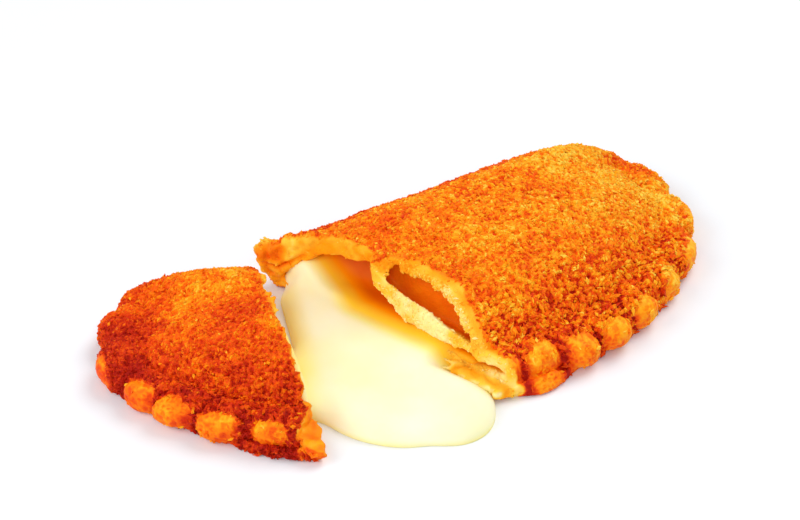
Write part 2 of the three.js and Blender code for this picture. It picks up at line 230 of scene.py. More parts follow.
# Breadcrumb relief on the skin, and the bare dough beside it
RIDGE_HEIGHT = 0.42
RIDGE_SIZE = 1.2
GRAIN_HEIGHT = 0.24
GRAIN_SIZE = 0.9
CRUMB_STEP = 0.25
FRONT_COARSE = 0.5
FRONT_START = (22, 26)
FRONT_INSET = (20, 16)
SKIN_START = (-0.45, 0.35)
BARE_EDGE = 2.2
BARE_START = (25, 6)
BARE_END = (57, 6)
BARE_LEAST = 0.1
BARE_WAVE = (0.6, 1.6, 42)
BARE_WAVE_START = (4, 4)
BARE_TOOTH = 3.6
BARE_TOOTH_WAVE = (0.8, 1.6, 41)
SOFT_EDGE = 0.7
UNDERSIDE = (0.6, 0.5)
SKIN_SWELL = (0.22, 5.5, 71)
DOUGH_SWELL = (0.16, 2.6, 31)
PORES = ((0.3, 1.1, 91), (0.2, 2.3, 92))
PORES_END = (1.2, 1.2)
TOOTH_DIMPLE = (0.22, 3.4, 44)
HOOD_INSET = (4.5, 3.0)
CORNER_V = (2.8, 5.5)
CORNER_DEPTH = (4.5, 2.5)
CORNER_FOLDS = ((0.9, 2.2, 23), (0.5, 1.1, 24))
FLAP_HEIGHT = 0.5
CREASE_DEPTH = 1.3
GROOVE_ACROSS = (0.72, 0.26)
GROOVE_INSET = (7.5, 4)

# Loose crumbs: how many, their half sizes, and the share of pale ones
CRUMBS_LARGE = dict(count=24500, low=0.19, high=0.48, pale=0.11)
FLAKES_CUT = dict(count=2000, low=0.14, high=0.36, pale=0.0)
CRUMBS_SMALL = dict(count=12500, low=0.16, high=0.4, pale=0.04)
SMALL_ONES = 1.8
STRETCH_LOW = (1.1, 0.65, 0.6)
STRETCH_HIGH = (2.2, 1.0, 0.9)
CORNER_JITTER = 0.25
SUNK = -0.1
RAISED = 0.35
CRUMB_TONE = 0.02
CRUMB_TONE_VARIES = 0.09
PALE_TONE = 0.22

# half, depth and back shape the outline, pitch and phase its teeth, and seed what is random.
# sag: how much lower it gets, from where and over what length. lip: where the lip under the
# teeth sticks out, over what width and how far. crumbly_lip: 1 if crumbs cover it. torn: 1 if
# the cut is ragged. bare_side: how the bare part of a tooth leans. hood: how the crumbs swell
# over it. teeth: where they sit along the edge, in pitches, and their numbers. cover: how much
# further crumbs reach over single teeth. tone: of the skin. relief_shade: how strongly painted
# shade darkens the gaps between the crumbs and a painted highlight lightens their tops.
LARGE = dict(
    half=58.5, depth=DEPTH, back=4.8, pitch=9.7, phase=0.0, seed=3,
    sag=(1.0, -6, 14), lip=(-1, 7, 1), crumbly_lip=0.0, torn=1.0, bare_side=-0.9, hood=0.15,
    teeth=(
        (-14, -10.1, -8.5, -6.9, -5.35, -4.15, -3, 0, 14),
        (-12, -8, -7, -6, -5, -4, -3, 0, 14),
    ),
    cover={-1: 0.4, -2: 0.9, -3: 1.3, -4: 1.8, -5: 2.2, -6: 2.7, -7: 3.0, -8: 3.3, -9: 3.4},
    tone=0.555, relief_shade=0.2,
)
SMALL = dict(
    half=60.7, depth=SMALL_DEPTH, back=7.5, pitch=10.3, phase=0.6, seed=8,
    sag=(1.6, -38, 14), lip=(-22, 8, 0.6), crumbly_lip=1.0, torn=0.0, bare_side=0.3, hood=0.65,
    teeth=(
        (-14, 4, 5.05, 5.85, 6.9, 7.65, 8.15, 9.4, 14),
        (-14, 4, 5, 6, 7, 7.5, 8, 9, 13),
    ),
    cover={2: 1.5, 3: 1.9, 4: 1.9, 5: 0.4, 6: 0.3, 7: 2.9},
    tone=0.43, relief_shade=0.13,
)


def mix(a, b, t):
    return a + (b - a) * t


def smooth(x):
    t = np.clip(x, 0.0, 1.0)
    return t * t * (3 - 2 * t)


def rises(x, start, width):
    """0 up to start, then up to 1 over the width."""
    return smooth((x - start) / width)


def falls(x, end, width):
    """0 past the end, and up to 1 over the width before it."""
    return smooth((end - x) / width)


def bump(x, centre, width):
    return np.exp(-(((x - centre) / width) ** 2))


def soft_max(a, b, k):
    h = np.clip(0.5 + 0.5 * (a - b) / k, 0, 1)
    return mix(b, a, h) + k * h * (1 - h)


def soft_min(a, b, k):
    return -soft_max(-a, -b, k)


def hashed(i, j, k, seed):
    """Random numbers from 0 to 1 for whole-number cells."""
    h = (
        i.astype(np.int64) * 73856093
        ^ j.astype(np.int64) * 19349663
        ^ k.astype(np.int64) * 83492791
        ^ (seed * 2654435761)
    )
    h = (h ^ (h >> 13)) * 1274126177
    h = (h ^ (h >> 16)) & 0xFFFFFF
    return h / float(0xFFFFFF)


def noise(p, size, seed):
    """Smooth random field from -1 to 1 at points p."""
    q = p / size
    base = np.floor(q)
    f = q - base
    f = f * f * (3 - 2 * f)
    base = base.astype(np.int64)
    total = np.zeros(p.shape[:-1])
    for corner in np.ndindex(2, 2, 2):
        x, y, z = (f[..., k] if corner[k] else 1 - f[..., k] for k in range(3))
        i, j, k = (base[..., k] + corner[k] for k in range(3))
        total += x * y * z * hashed(i, j, k, seed)
    return total * 2 - 1


def layer(p, height, size, seed):
    return height * noise(p, size, seed)


def layers(p, several):
    return sum(layer(p, *one) for one in several)


def grains(p, size, seed):
    """Height of packed round grains at points p, 0 in the gaps and 1 on top, and each one's number."""
    steepness = 1.6
    q = p / size
    base = np.floor(q).astype(np.int64)
    best = np.full(len(p), 9.0)
    second = np.full(len(p), 9.0)
    name = np.zeros(len(p))
    for corner in np.ndindex(3, 3, 3):
        i, j, k = (base[:, k] + corner[k] - 1 for k in range(3))
        x = i + hashed(i, j, k, seed + 1)
        y = j + hashed(i, j, k, seed + 2)
        z = k + hashed(i, j, k, seed + 3)
        d = (q[:, 0] - x) ** 2 + (q[:, 1] - y) ** 2 + (q[:, 2] - z) ** 2
        near = d < best
        second = np.where(near, best, np.minimum(second, d))
        name = np.where(near, hashed(i, j, k, seed + 4), name)
        best = np.where(near, d, best)
    rise = np.clip((np.sqrt(second) - np.sqrt(best)) * steepness, 0, 1)
    return np.sqrt(rise), name


def worms(p, size, seed):
    """Height of a tangle of short ridges at points p, 0 between them and 1 along their tops."""
    sharpness = 12
    bend = np.stack([noise(p, size * 2.2, seed + k) for k in (5, 6, 7)], -1) * size * 0.45
    q = p + bend
    first = noise(q, size, seed + 1)
    second = noise(q + 31.7, size * 0.86, seed + 2)
    return np.clip(1 - np.minimum(first**2, second**2) * sharpness, 0, 1)


def radius(phi, piece):
    """Distance from the middle of the widest line to the outline, at angle phi."""
    c = np.abs(np.cos(phi))
    s = np.sin(phi)
    reach = np.where(s > 0, piece["depth"] - WIDEST_AT, WIDEST_AT)
    power = np.where(s > 0, FRONT_POWER, piece["back"])
    return ((c / piece["half"]) ** power + (np.abs(s) / reach) ** power) ** (-1 / power)


def rimness(phi):
    """1 along the crimped edge, 0 along the fold."""
    below = np.arctan2(-np.sin(phi), np.abs(np.cos(phi)))
    return 1 - np.clip((below - RIM_END[0]) / RIM_END[1], 0, 1)


def arc_table(piece):
    """Angles from the middle of the fold all round, and the length along the edge from the front."""
    phi = np.linspace(-np.pi / 2, np.pi * 1.5, ARC_SAMPLES)
    r = radius(phi, piece)
    x, y = r * np.cos(phi), r * np.sin(phi)
    arc = np.concatenate([[0], np.cumsum(np.hypot(np.diff(x), np.diff(y)))])
    return phi, arc - arc[ARC_SAMPLES // 2]


def plan(piece, u, v):
    """What depends only on the place seen from above. across runs from -1 to 1 over each tooth."""
    y = v - WIDEST_AT
    phi = np.arctan2(y, u)
    plain = radius(phi, piece)
    rim = rimness(phi)
    table_phi, table_arc = piece["table"]
    round_phi = np.where(phi < -np.pi / 2, phi + 2 * np.pi, phi)
    arc = np.interp(round_phi, table_phi, table_arc) / piece["pitch"] + piece["phase"]
    arc = np.interp(arc, *piece["teeth"])
    tooth = np.floor(arc + 0.5)
    across = (arc - tooth) * 2
    inset = plain - np.hypot(u, y)
    return dict(plain=plain, rim=rim, tooth=tooth, across=across, inset=inset, phi=phi, u=u)


def dome(piece, q):
    """Half the rim's height, and how far the top rises over twice that, without teeth."""
    flat = mix(FOLD_WIDTH, RIM_WIDTH, q["rim"])
    x = np.clip((q["inset"] - flat) / (q["plain"] - flat), 0, 1)
    amount, start, length = piece["sag"]
    low = amount * falls(q["u"], start, length)
    fold = FOLD_HEIGHT - FOLD_SAG * low
    half = mix(fold, RIM_HEIGHT, q["rim"]) / 2
    high = PEAK - low
    rise = (high - 2 * half) * (1 - (1 - x) ** DOME_POWER) ** DOME_SOFTNESS
    return half, rise


def body_field(piece, q, z):
    """Outside of one piece before its cut, as a distance that is negative inside."""
    inset = q["inset"] - BODY_INSET * q["rim"]
    half, rise = dome(piece, q)
    width = mix(NOSE_FOLD, NOSE_RIM, q["rim"])
    nx = np.clip((width - inset) / width, 0, None)
    between = q["rim"] * np.abs(q["across"]) ** 4 * falls(q["inset"], *GROOVE_END)
    up = half + rise - GROOVE_DEPTH * between
    height = np.where(z > half, up, half)
    nz = (z - half) / height
    body = (np.sqrt(nx * nx + nz * nz + TINY) - 1) * np.where(nx > 0, half, height)
    middle, wide, amount = piece["lip"]
    lipped = amount * bump(q["u"], middle, wide) * (q["phi"] > 0)
    off_rim = (1 - q["rim"]) * NO_RIM
    teeth = teeth_field(piece, q, z, lipped) + off_rim
    lip = lip_field(q, z, lipped) + off_rim
    return soft_min(soft_min(body, teeth, TOOTH_BLEND), lip, LIP_BLEND)


def teeth_field(piece, q, z, lipped):
    """Round teeth of slightly different sizes, lifted and set back where the lip sticks out."""
    zero = np.zeros_like(q["tooth"])
    size = TOOTH_SMALLEST + TOOTH_VARIES * hashed(q["tooth"], zero, zero, piece["seed"])
    side = q["across"] * piece["pitch"] / 2 / (TOOTH_ROUND * size)
    deep = (q["inset"] - TOOTH_INSET - LIFTED_BACK * lipped) / (TOOTH_DEEP * size)
    high = mix(TOOTH_HIGH, LIP_THICK + LIFTED_HALF, lipped)
    tall = (z - high) / mix(TOOTH_HALF, LIFTED_HALF, lipped)
    total = sum(np.abs(x) ** TOOTH_POWER for x in (side, deep, tall))
    return (total ** (1 / TOOTH_POWER) - 1) * TOOTH_SCALE


def lip_field(q, z, lipped):
    """Thin sheet of dough on the floor, hidden inside the body where it doesn't stick out."""
    reach = mix(-BODY_INSET, LIP_REACH, lipped)
    flat = np.abs(z - LIP_THICK / 2) - LIP_THICK / 2 + LIP_ROUND
    out = -(q["inset"] + reach) + LIP_ROUND
    corner = np.hypot(np.clip(flat, 0, None), np.clip(out, 0, None))
    return corner + np.minimum(np.maximum(flat, out), 0) - LIP_ROUND


def crust_under(piece, q, v):
    """Height of the upper crust's underside."""
    half, rise = dome(piece, q)
    return 2 * half + rise - np.interp(v, WALL_V, WALL_THICK)


def pocket_field(piece, q, v, z, shrink):
    """Hollow that holds the cheese, as a distance that is negative inside."""
    inset = q["inset"] - mix(POCKET_INSET_FOLD, POCKET_INSET_RIM, q["rim"]) - shrink
    high = crust_under(piece, q, v) - shrink
    low = FLOOR + shrink
    middle = low + POCKET_BELLY
    nx = np.clip((POCKET_ROUND - inset) / POCKET_ROUND, 0, None)
    tall = np.maximum(np.where(z > middle, high - middle, middle - low), POCKET_LEAST)
    nz = (z - middle) / tall
    return (np.sqrt(nx * nx + nz * nz + TINY) - 1) * np.where(nx > 0, POCKET_SCALE, tall)


def cut_line(v):
    return mix(CUT_BACK, CUT_FRONT, v / DEPTH)


def in_crust(u, v, z):
    """1 in the large piece's upper crust, 0 below it."""
    return rises(z - crust_under(LARGE, plan(LARGE, u, v), v), *CRUST_START)


def cut_field(u, v, z):
    """Distance past the large piece's cut, positive on the side that is kept."""
    sheet_top = np.interp(v, SHEET_V, SHEET_OVER) + SHEET_ABOVE
    in_sheet = rises(v, *SHEET_START) * falls(z, sheet_top, 0.8)
    high = in_crust(u, v, z) * (1 - in_sheet)
    back = CUT_SETBACK * high * rises(v, *SETBACK_START) * falls(v, *SETBACK_END)
    corner = CUT_CORNER * falls(v, *CORNER_END) * bump(z, *CORNER_Z)
    tilt = math.cos(math.atan2(CUT_FRONT - CUT_BACK, DEPTH))
    return (u - cut_line(v) - back + corner) * tilt


def sheet_field(u, v, z):
    """Sheet of dough that leaves the crust and hangs down to the front rim."""
    inward = u - cut_line(v)
    along = v + SHEET_SLANT * np.clip(inward, 0, SHEET_SLANT_DEPTH)
    under = np.interp(along, SHEET_V, SHEET_UNDER)
    swollen = np.interp(along, SHEET_V, SHEET_OVER) - under
    thick = mix(SHEET_THICK, swollen, falls(inward, SHEET_SWELL_DEPTH, SHEET_SWELL_DEPTH))
    thick = thick + SHEET_JOIN * rises(inward, *AIR_END)
    f = np.abs(z - under - thick / 2) - thick / 2
    return soft_max(f * SHEET_SCALE, inward - SHEET_REACH, 1.0)


def strand(v, inward, z, start, end, thick):
    """Tapering thread between two places given as v, distance inward from the cut, and z."""
    along = [b - a for a, b in zip(start, end)]
    length = sum(c * c for c in along)
    t = (v - start[0]) * along[0] + (inward - start[1]) * along[1] + (z - start[2]) * along[2]
    t = np.clip(t / length, 0, 1)
    dv, di, dz = (p - a - t * c for p, a, c in zip((v, inward, z), start, along))
    return np.sqrt(dv * dv + di * di + dz * dz) - thick * (1 - SHRED_TAPER * t)


def torn_lip(v, z, inward):
    """Bottom sheet that stays behind past the cut near the front rim, with a ragged edge."""
    ragged = sum(amount * np.sin(v * turns + phase) for amount, turns, phase in LIP_RAGS)
    reach = -LIP_OUT * rises(v, *LIP_START) * falls(v, *LIP_END) + RAGS_OUT * ragged
    flat = np.abs(z - LIP_MIDDLE - RAGS_UP * ragged) - LIP_HALF
    side = soft_max(reach - inward, inward - LIP_DEEP, 0.5)
    side = soft_max(side, np.abs(v - LIP_CENTRE) - LIP_LONG, 0.8)
    lip = soft_max(flat, side, 0.9)
    for start, end, thick in SHREDS:
        lip = soft_min(lip, strand(v, inward, z, start, end, thick), 0.5)
    return lip


def knob(u, v, z):
    """Lump of torn crust at the back corner of the cut."""
    inward = u - cut_line(v)
    x, y, h = ((p - c) / r for p, c, r in zip((inward, v, z), KNOB, KNOB_SIZE))
    return (np.sqrt(x * x + y * y + h * h) - 1) * KNOB_SCALE


def band(u, v, a, b):
    """Distance to a band seen from above that widens from one circle to another."""
    dx, dy = b[0] - a[0], b[1] - a[1]
    length = math.hypot(dx, dy)
    slope = (b[2] - a[2]) / length
    px = ((u - a[0]) * dx + (v - a[1]) * dy) / length
    py = np.abs((u - a[0]) * dy - (v - a[1]) * dx) / length
    t = np.clip((px + py * slope / math.sqrt(1 - slope * slope)) / length, 0, 1)
    return np.hypot(px - t * length, py) - mix(a[2], b[2], t)


def pool_field(u, v, z):
    """Cheese that has run out onto the floor, as a distance that is negative inside."""
    tongue = band(u, v, BRIDGE_FROM, BRIDGE_TO)
    past_side = (u - POOL_SIDE[0]) * POOL_SIDE_NORMAL[0] + (v - POOL_SIDE[1]) * POOL_SIDE_NORMAL[1]
    main = soft_max(band(u, v, POOL_BACK, POOL_FRONT), past_side, POOL_BLEND)
    lobe = np.hypot(u - POOL_LOBE[0], v - POOL_LOBE[1]) - POOL_LOBE[2]
    main = soft_min(main, lobe, POOL_BLEND)
    d = soft_min(main, tongue, BRIDGE_BLEND)
    outward = cut_line(v) - u
    top = POOL_HEIGHT * mix(1.0, POOL_OUTER, rises(outward, *POOL_OUTER_START))
    top = top + POOL_HEAP * falls(v, *POOL_HEAP_END) * falls(outward, *POOL_HEAP_OUT)
    top = top * mix(POOL_BACK_LOW, 1.0, rises(v, *POOL_BACK_END))
    top = top * (1 - POOL_DIP * rises(v, *POOL_DIP_START) * falls(outward, *POOL_DIP_OUT))
    nx = np.clip((POOL_ROUND + d) / POOL_ROUND, 0, None)
    nz = np.clip(z - POOL_EDGE, 0, None) / (top - POOL_EDGE)
    return (np.sqrt(nx * nx + nz * nz + TINY) - 1) * POOL_STEEP


def melt_top(u, v):
    """Height of the cheese in the large piece's hollow."""
    base = MELT_TOP + MELT_BACK * falls(v, *MELT_BACK_END) - MELT_FRONT * rises(v, *MELT_FRONT_START)
    return base + MELT_FILL * rises(u - cut_line(v), *MELT_FILL_START)


def small_cut_line(v):
    return mix(SMALL_CUT_BACK, SMALL_CUT_FRONT, v / SMALL_DEPTH)


def small_cut(u, v, z):
    """Distance past the small piece's cut; its top sheet is torn back at the front end."""
    tip_length = SMALL_DEPTH - 1 - TIP_START
    torn = TIP_BACK * rises(v, TIP_START, tip_length) * rises(z, TIP_THICK, TIP_FADE)
    torn = torn + TIP_SHORT * rises(v, *TIP_SHORT_START)
    setback = SMALL_SETBACK * rises(v, *SMALL_SETBACK_START) * falls(v, *SMALL_SETBACK_END)
    torn = torn + setback * rises(z, *SMALL_SETBACK_Z)
    tilt = math.cos(math.atan2(SMALL_CUT_FRONT - SMALL_CUT_BACK, SMALL_DEPTH))
    return (small_cut_line(v) - u) * tilt - torn


def turned(x, y, angle):
    c, s = math.cos(angle), math.sin(angle)
    return x * c - y * s, x * s + y * c


def small_frame(u, v):
    """From a place in the large piece's frame to the small piece's own."""
    x, y = turned(u - SMALL_CORNER[0], v - SMALL_CORNER[1], -SMALL_TURN)
    return x + SMALL_CUT_BACK, y


def place_small(p):
    """From the small piece's own frame to its place beside the large one."""
    x, y = turned(p[:, 0] - SMALL_CUT_BACK, p[:, 1], SMALL_TURN)
    return np.stack([x + SMALL_CORNER[0], y + SMALL_CORNER[1], p[:, 2]], 1)


def surface_nets(field, low, step):
    """Quads along the zero level of a field sampled on a grid."""
    size = np.array(field.shape)
    cells = size - 1
    stride = np.array([cells[1] * cells[2], cells[2], 1])
    inside = field < 0
    indices, positions, quads = [], [], []
    for axis in range(3):
        lo = tuple(slice(0, -1) if k == axis else slice(None) for k in range(3))
        hi = tuple(slice(1, None) if k == axis else slice(None) for k in range(3))
        a, b = field[lo], field[hi]
        cross = inside[lo] != inside[hi]
        at = np.argwhere(cross)
        t = a[cross] / (a[cross] - b[cross])
        where = at.astype(float)
        where[:, axis] += t
        p, q = (axis + 1) % 3, (axis + 2) % 3
        corners = []
        valid = np.ones(len(at), bool)
        for dp, dq in ((0, 0), (-1, 0), (-1, -1), (0, -1)):
            cell = at.copy()
            cell[:, p] += dp
            cell[:, q] += dq
            ok = np.all((cell >= 0) & (cell < cells), axis=1)
            valid &= ok
            number = cell @ stride
            indices.append(number[ok])
            positions.append(where[ok])
            corners.append(number)
        quad = np.stack(corners, 1)[valid]
        flip = inside[lo][cross][valid]
        quad[flip] = quad[flip][:, ::-1]
        quads.append(quad)
    indices = np.concatenate(indices)
    positions = np.concatenate(positions)
    used, inverse = np.unique(indices, return_inverse=True)
    count = np.bincount(inverse)
    points = np.stack([np.bincount(inverse, positions[:, k]) / count for k in range(3)], 1)
    faces = np.searchsorted(used, np.concatenate(quads))
    return points * step + low, faces[:, ::-1]


def normals(points, faces):
    """Each vertex's direction, from the quads round it."""
    a, b, c, d = (points[faces[:, k]] for k in range(4))
    n = np.cross(c - a, d - b)
    total = np.stack(
        [sum(np.bincount(faces[:, k], n[:, m], len(points)) for k in range(4)) for m in range(3)], 1
    )
    return total / np.maximum(np.linalg.norm(total, axis=1, keepdims=True), 1e-12)


def relax(points, faces, rounds, strength):
    """Evens out a mesh by moving each vertex towards the middle of its neighbours."""
    ends = np.concatenate([faces[:, [k, (k + 1) % 4]] for k in range(4)])
    ends = np.concatenate([ends, ends[:, ::-1]])
    count = np.maximum(np.bincount(ends[:, 0], minlength=len(points)), 1)
    for _ in range(rounds):
        mean = np.stack(
            [np.bincount(ends[:, 0], points[ends[:, 1], k], len(points)) / count for k in range(3)], 1
        )
        points = mix(points, mean, strength)
    return points


def largest_body(points, faces):
    """Keeps only the biggest connected part of a mesh."""
    label = np.arange(len(points))
    while True:
        low = label[faces].min(1)
        new = label.copy()
        for k in range(4):
            np.minimum.at(new, faces[:, k], low)
        new = new[new]
        if np.array_equal(new, label):
            break
        label = new
    names, counts = np.unique(label, return_counts=True)
    keep = label == names[counts.argmax()]
    order = np.cumsum(keep) - 1
    return points[keep], order[faces[keep[faces[:, 0]]]]


def grid(low, high, step):
    """Places u, v and z on a grid over a box, ready to broadcast, and the grid's first corner."""
    end = MARGIN + 0.01
    u, v, z = (np.arange(low[k] - step * MARGIN, high[k] + step * end, step) for k in range(3))
    first = np.array([u[0], v[0], z[0]])
    u, v = np.meshgrid(u, v, indexing="ij")
    return u[:, :, None], v[:, :, None], z[None, None, :], first


def solid_mesh(field, first, step, rounds, strength):
    """The biggest body inside a field, as an evened mesh of quads."""
    points, faces = largest_body(*surface_nets(field, first, step))
    return relax(points, faces, rounds, strength), faces


def cut_wave(cut, u, v, z, several):
    """Uneven tearing near a cut."""
    where = np.stack(np.broadcast_arrays(u, v, z), -1)
    near = np.abs(cut) < WAVE_DEPTH
    wave = np.zeros(cut.shape)
    wave[near] = layers(where[near], several)
    return wave


def build_large():
    u, v, z, first = grid((-36, -3, 0), (63, 63, 19.5), STEP)
    q = plan(LARGE, u, v)
    inward = u - cut_line(v)
    outside = soft_min(body_field(LARGE, q, z), knob(u, v, z), KNOB_BLEND)
    pocket = soft_max(pocket_field(LARGE, q, v, z, 0.0), inward - POCKET_LENGTH, 2.0)
    hollow = soft_max(pocket, -sheet_field(u, v, z), 0.8)
    gape = mix(SLIT_HALF, SLIT_NARROW, rises(v, *SLIT_NARROWS))
    past_end = np.clip((np.abs(v - SLIT_MIDDLE) - SLIT_LONG) / SLIT_END, 0, None)
    slit = np.sqrt(((z - SLIT_HIGH) / gape) ** 2 + past_end**2) - 1
    hollow = soft_min(hollow, soft_max(slit, inward - SLIT_DEEP, 1.0), 0.4)
    cut = cut_field(u, v, z)
    wave = cut_wave(cut, u, v, z, CUT_WAVE)
    wave = wave * (WAVE_LOW + (1 - WAVE_LOW) * in_crust(u, v, z))
    hollow = hollow + WAVE_INSIDE * wave
    field = soft_max(outside, -(cut + wave), CUT_BLEND)
    field = soft_max(field, -hollow, POCKET_BLEND)
    field = soft_min(field, torn_lip(v, z, inward), 0.5)
    field = soft_max(field, -z, 0.2)
    return solid_mesh(field, first, STEP, 1, 0.4)


def build_small():
    u, v, z, first = grid((-65, -3, 0), (-8, 51, 19.5), STEP)
    q = plan(SMALL, u, v)
    cut = small_cut(u, v, z)
    pocket = soft_max(pocket_field(SMALL, q, v, z, 0.0), cut - SMALL_POCKET_LENGTH, 2.0)
    wave = cut_wave(cut, u, v, z, SMALL_CUT_WAVE)
    field = soft_max(body_field(SMALL, q, z), -(cut + wave), CUT_BLEND)
    field = soft_max(field, -pocket, POCKET_BLEND)
    field = soft_max(field, -z, 0.2)
    return solid_mesh(field, first, STEP, 1, 0.4)


def build_cheese():
    """Cheese in the large hollow, the pool, and cheese in the small hollow, as one body."""
    u, v, z, first = grid((-58, 0, 0), (5, 67, 16), CHEESE_STEP)
    filling = pocket_field(LARGE, plan(LARGE, u, v), v, z, -FILL_OVERLAP)
    filling = soft_max(filling, (z - melt_top(u, v)) * MELT_SCALE, 1.2)
    filling = soft_max(filling, cut_line(v) - u, 1.0)
    su, sv = small_frame(u, v)
    q = plan(SMALL, su, sv)
    line = small_cut_line(sv)
    other = soft_max(pocket_field(SMALL, q, sv, z, OTHER_GAP), su - line + OTHER_SHORT, 1.0)
    other = soft_max(other, line - su - OTHER_DEPTH, 0.5)
    small_body = soft_max(body_field(SMALL, q, z), su - line, OUTSIDE_BLEND)
    small_dough = soft_max(small_body, -pocket_field(SMALL, q, sv, z, 0.0), OUTSIDE_BLEND)
    pool = soft_max(pool_field(u, v, z), -small_dough, OUTSIDE_BLEND)
    field = soft_min(soft_min(filling, pool, 3.0), other, 1.5)
    field = soft_max(field, u - cut_line(v) - MELT_DEPTH, 1.0)
    points, faces = solid_mesh(field, first, CHEESE_STEP, 4, 0.5)
    points = points + normals(points, faces) * layer(points, *CHEESE_RIPPLE)[:, None]
    points[:, 2] = np.maximum(points[:, 2], 0.0)
    return points, faces


def to_segment(x, y, a, b):
    """Distance in a plane from points x, y to the segment from a to b."""
    along = (b[0] - a[0], b[1] - a[1])
    t = ((x - a[0]) * along[0] + (y - a[1]) * along[1]) / (along[0] ** 2 + along[1] ** 2)
    t = np.clip(t, 0, 1)
    return np.hypot(x - a[0] - along[0] * t, y - a[1] - along[1] * t)


def skin_and_bare_teeth(points, piece, q, cut_distance):
    """Where the surface is browned skin and not dough at the cut, and where teeth have no crumbs."""
    u, v, z = points.T
    edge = piece["torn"] * BARE_EDGE * rises(v, *BARE_START) * falls(v, *BARE_END)
    edge = BARE_LEAST + edge + layer(points, *BARE_WAVE) * rises(v, *BARE_WAVE_START)
    outside = body_field(piece, q, z)
    on_skin = rises(outside, *SKIN_START) * rises(cut_distance, edge, SOFT_EDGE)
    tooth, across = q["tooth"], q["across"]
    cover = sum(amount * (tooth == number) for number, amount in piece["cover"].items())
    cover = cover + FULL_COVER * ((tooth < FIRST_TOOTH) | (tooth > LAST_TOOTH))
    middle, wide, amount = piece["lip"]
    lip = bump(u, middle, wide)
    bare = BARE_TOOTH + LIFTED_BACK * amount * lip - cover + piece["bare_side"] * across
    bare = bare - BARE_TOOTH * np.abs(across) ** 5 + layer(points, *BARE_TOOTH_WAVE)
    lower = piece["crumbly_lip"] * lip * falls(z, LIP_THICK + 0.7, 0.8)
    bead = q["rim"] * falls(q["inset"], bare, SOFT_EDGE) * (1 - lower)
    return on_skin, bead


def corner_folds(points, piece, cut_distance):
    """How near the torn back corner of the large piece's cut is, and the height of its folds."""
    v, z = points[:, 1], points[:, 2]
    corner = bump(v, *CORNER_V) * falls(cut_distance, *CORNER_DEPTH) * piece["torn"]
    sides = zip(CREASE, CREASE[1:])
    crease = sum(bump(to_segment(v, z, a, b), 0, CREASE_WIDTH) for a, b in sides)
    flap = rises(z, np.interp(v, *zip(*CREASE)), 0.8)
    height = layers(points, CORNER_FOLDS) + FLAP_HEIGHT * flap - CREASE_DEPTH * crease
    return corner, corner * height


def dress(points, faces, piece, cut_distance):
    """Breadcrumb relief on a bare mesh in its piece's own frame, and the values that colour it."""
    z = points[:, 2]
    q = plan(piece, points[:, 0], points[:, 1])
    across = np.abs(q["across"])
    on_skin, bead = skin_and_bare_teeth(points, piece, q, cut_distance)
    corner, folds = corner_folds(points, piece, cut_distance)
    under = falls(z, *UNDERSIDE)
    ridge = worms(points, RIDGE_SIZE, piece["seed"] * 11)
    grain, name = grains(points, GRAIN_SIZE, piece["seed"] * 17)
    front = q["rim"] * rises(points[:, 1], *FRONT_START) * falls(q["inset"], *FRONT_INSET)
    height = RIDGE_HEIGHT * (ridge - 0.5) + GRAIN_HEIGHT * (grain - 0.5)
    height = height * (1 + FRONT_COARSE * front)
    crumbly = on_skin * (1 - 0.8 * bead) * (1 - 0.75 * under)
    wander = layer(points, *DOUGH_SWELL) * (1 - on_skin)
    wander = wander + layer(points, *SKIN_SWELL) * on_skin * (1 - bead)
    pores = (1 - on_skin) * falls(cut_distance, *PORES_END) * layers(points, PORES)
    dimple = bead * layer(points, *TOOTH_DIMPLE)
    hood = piece["hood"] * q["rim"] * bump(q["inset"], *HOOD_INSET) * rises(z, 2, 2)
    lift = crumbly * (height + CRUMB_STEP + hood) + wander + pores + folds + dimple
    moved = points + normals(points, faces) * lift[:, None]
    moved[:, 2] = np.maximum(moved[:, 2], 0.0)
    groove = q["rim"] * rises(across, *GROOVE_ACROSS) * falls(q["inset"], *GROOVE_INSET)
    return moved, dict(
        on_skin=on_skin, bead=bead, crumbly=crumbly, under=under, front=front, across=across,
        groove=groove, height=height, name=name, corner=corner, folds=folds,
    )


def make_object(name, points, faces, attributes, material, smooth_shading=True):
    """Mesh object from u, v, z in millimetres. The frame mirrors v, so its faces are turned over."""
    mesh = bpy.data.meshes.new(name)
    verts = np.stack([points[:, 0] - ORIGIN_U, ORIGIN_V - points[:, 1], points[:, 2]], 1) * MM
    faces = faces[:, ::-1]
    n, k = faces.shape
    mesh.vertices.add(len(verts))
    mesh.vertices.foreach_set("co", verts.astype(np.float32).ravel())
    mesh.loops.add(n * k)
    mesh.loops.foreach_set("vertex_index", faces.astype(np.int32).ravel())
    mesh.polygons.add(n)
    mesh.polygons.foreach_set("loop_start", np.arange(0, n * k, k, dtype=np.int32))
    mesh.polygons.foreach_set("use_smooth", np.full(n, smooth_shading))
    mesh.update(calc_edges=True)
    mesh.validate()
    for key, values in attributes.items():
        stored = mesh.attributes.new(key, "FLOAT", "POINT")
        stored.data.foreach_set("value", values.astype(np.float32))
    mesh.materials.append(material)
    obj = bpy.data.objects.new(name, mesh)
    scene.collection.objects.link(obj)
    return obj


def from_screen(*colours):
    """Linear colours from 0 to 255 screen values."""
    def linear(c):
        c = c / 255
        return c / 12.92 if c <= 0.04045 else ((c + 0.055) / 1.055) ** 2.4

    return [(linear(r), linear(g), linear(b), 1.0) for r, g, b in colours]


